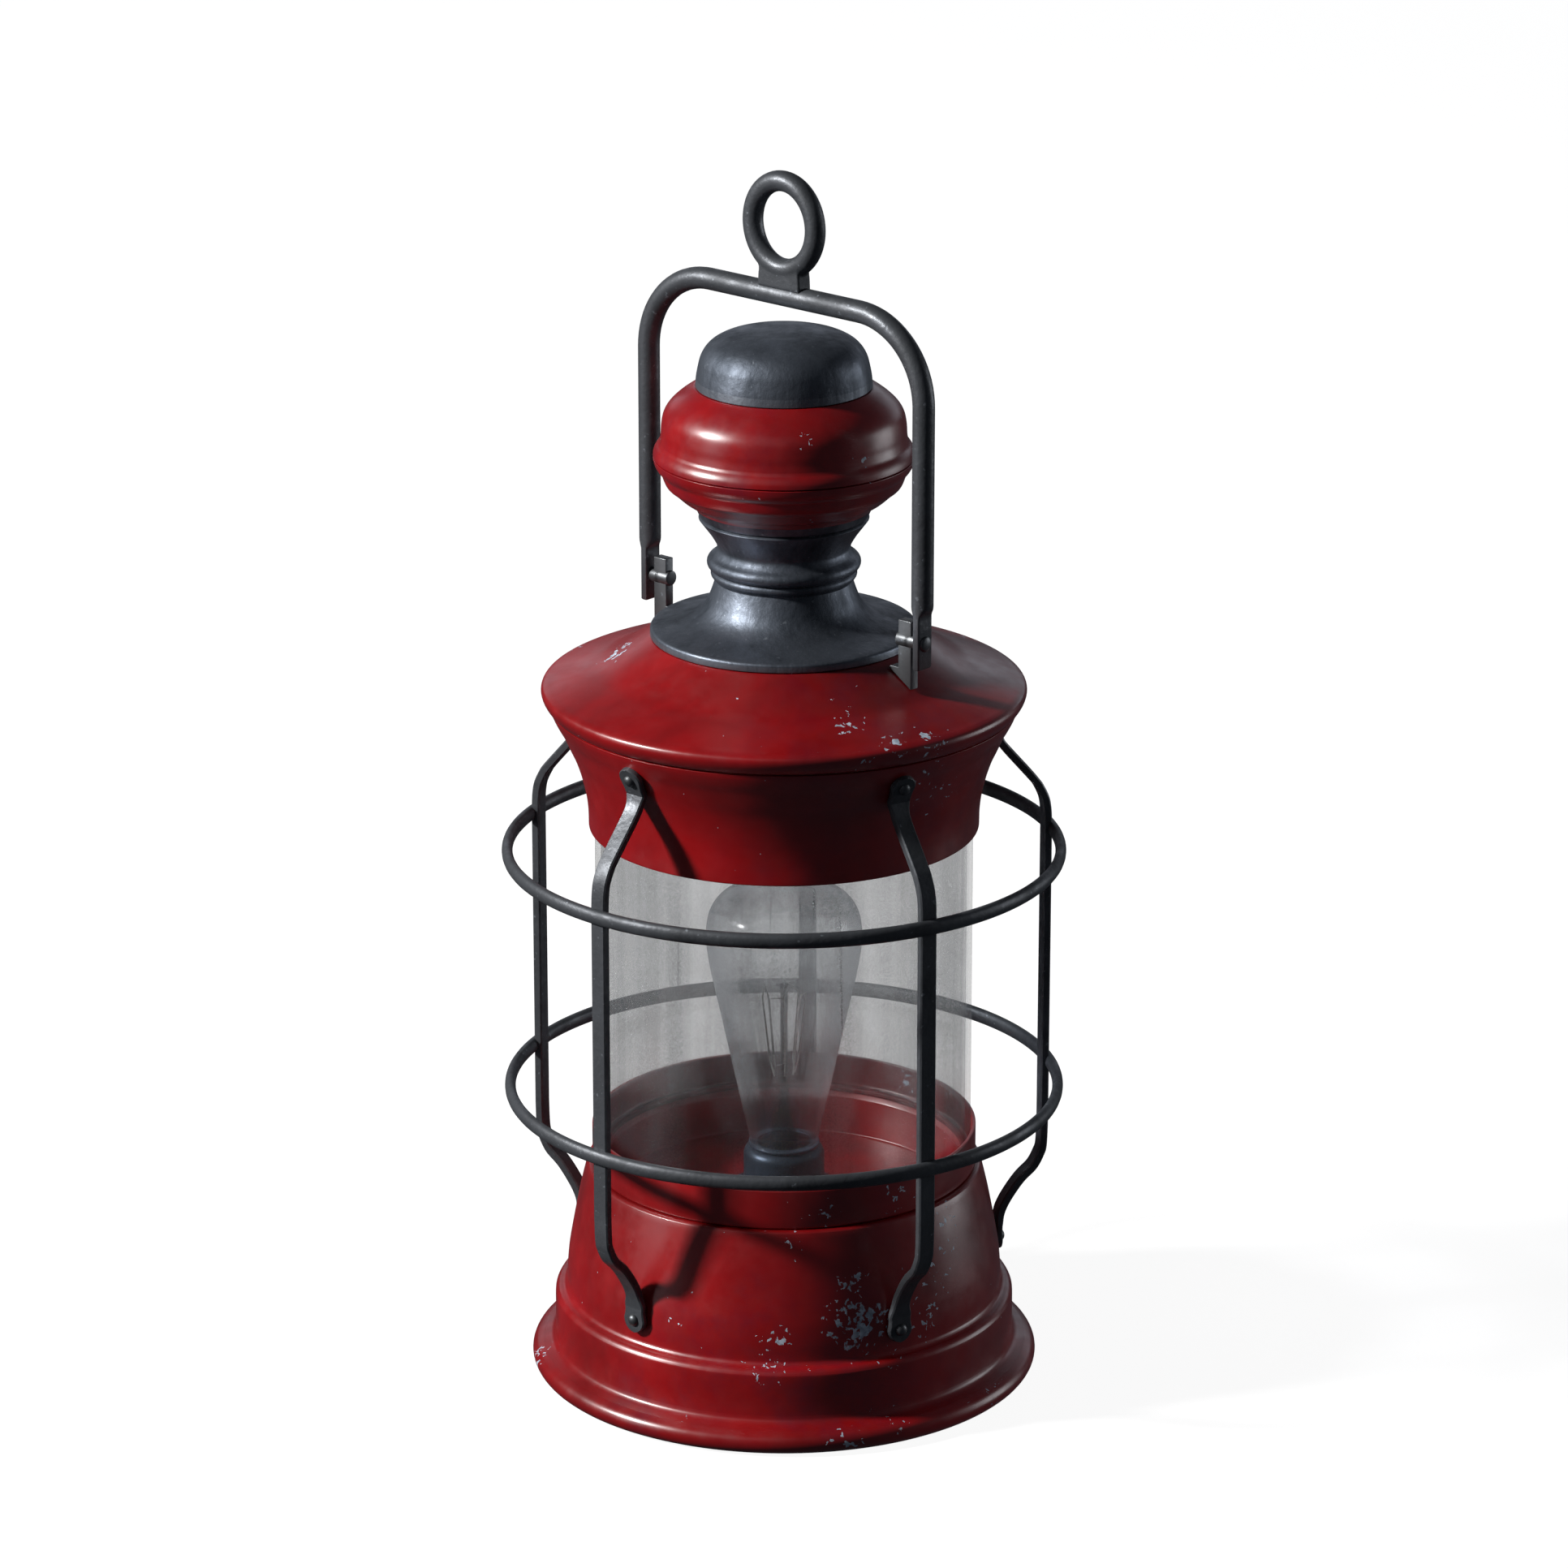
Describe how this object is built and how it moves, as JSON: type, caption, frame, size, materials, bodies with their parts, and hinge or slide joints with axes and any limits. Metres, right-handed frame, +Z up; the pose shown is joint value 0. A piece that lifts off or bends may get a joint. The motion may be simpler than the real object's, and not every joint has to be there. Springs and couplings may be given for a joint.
{
  "type": "electric lantern",
  "caption": "Caged red enamel lantern with a glass cylinder, a filament lamp inside, a vented top and a swinging carrying bail with a hanging eye.",
  "frame": {"origin": "centre of the foot pad's underside, on the surface that the lantern stands on", "axes": "+Z up along the lantern's axis, X along the pins that the bail swings on, and -Y towards the first cage bar, opposite the cable inlet"},
  "size_m": [0.2268, 0.2268, 0.4999],
  "materials": {
    "red_enamel": "glossy enamel, aged and chipped",
    "dark_steel": "blued spun steel, worn bright on the edges",
    "forged_steel": "dark forged steel, satin",
    "zinc_steel": "zinc plated",
    "brass": "dull",
    "chimney_glass": "clear, dusty and smudged",
    "lamp_glass": "clear",
    "rubber": "matt",
    "ceramic": null,
    "wire_cover": "satin",
    "tungsten": "dull"
  },
  "bodies": {
    "lantern": {"bail_bracket_left": "forged_steel", "bail_bracket_right": "forged_steel", "base_plate": "zinc_steel", "base_screw_1": "zinc_steel", "base_screw_2": "zinc_steel", "base_screw_3": "zinc_steel", "base_shell": "red_enamel", "base_tab_1": "zinc_steel", "base_tab_2": "zinc_steel", "base_tab_3": "zinc_steel", "bulb_cap": "brass", "bulb_cap_insulator": "ceramic", "bulb_contact": "zinc_steel", "bulb_filament": "tungsten", "bulb_glass": "lamp_glass", "bulb_stem": "lamp_glass", "cage_bar_1": "forged_steel", "cage_bar_2": "forged_steel", "cage_bar_3": "forged_steel", "cage_bar_4": "forged_steel", "cage_bar_5": "forged_steel", "cage_ring_lower": "forged_steel", "cage_ring_upper": "forged_steel", "cage_rivet_lower_1": "forged_steel", "cage_rivet_lower_2": "forged_steel", "cage_rivet_lower_3": "forged_steel", "cage_rivet_lower_4": "forged_steel", "cage_rivet_lower_5": "forged_steel", "cage_rivet_upper_1": "forged_steel", "cage_rivet_upper_2": "forged_steel", "cage_rivet_upper_3": "forged_steel", "cage_rivet_upper_4": "forged_steel", "cage_rivet_upper_5": "forged_steel", "chimney_base": "dark_steel", "chimney_cap": "dark_steel", "foot_pad": "rubber", "glass_cylinder": "chimney_glass", "glass_gasket_lower": "rubber", "glass_gasket_upper": "rubber", "glass_stop": "zinc_steel", "hood_roof": "red_enamel", "hood_skirt": "red_enamel", "inlet_bush": "rubber", "lamp_pan": "red_enamel", "lampholder_contact": "brass", "lampholder_flange": "dark_steel", "lampholder_insulator": "ceramic", "lampholder_nut": "brass", "lampholder_shell": "brass", "lampholder_sleeve": "dark_steel", "lead_live": "wire_cover", "lead_neutral": "wire_cover", "pivot_stud_left": "forged_steel", "pivot_stud_right": "forged_steel", "terminal_block": "ceramic", "vent_lower": "red_enamel", "vent_upper": "red_enamel"},
    "bail_handle": {"bail": "forged_steel", "bail_eye": "forged_steel"}
  },
  "joints": [
    {"name": "bail_swing", "type": "hinge", "parent": "lantern", "child": "bail_handle", "pos_m": [0, 0, 0.32225], "axis": [1, 0, 0], "range_deg": [-111, 111]}
  ]
}
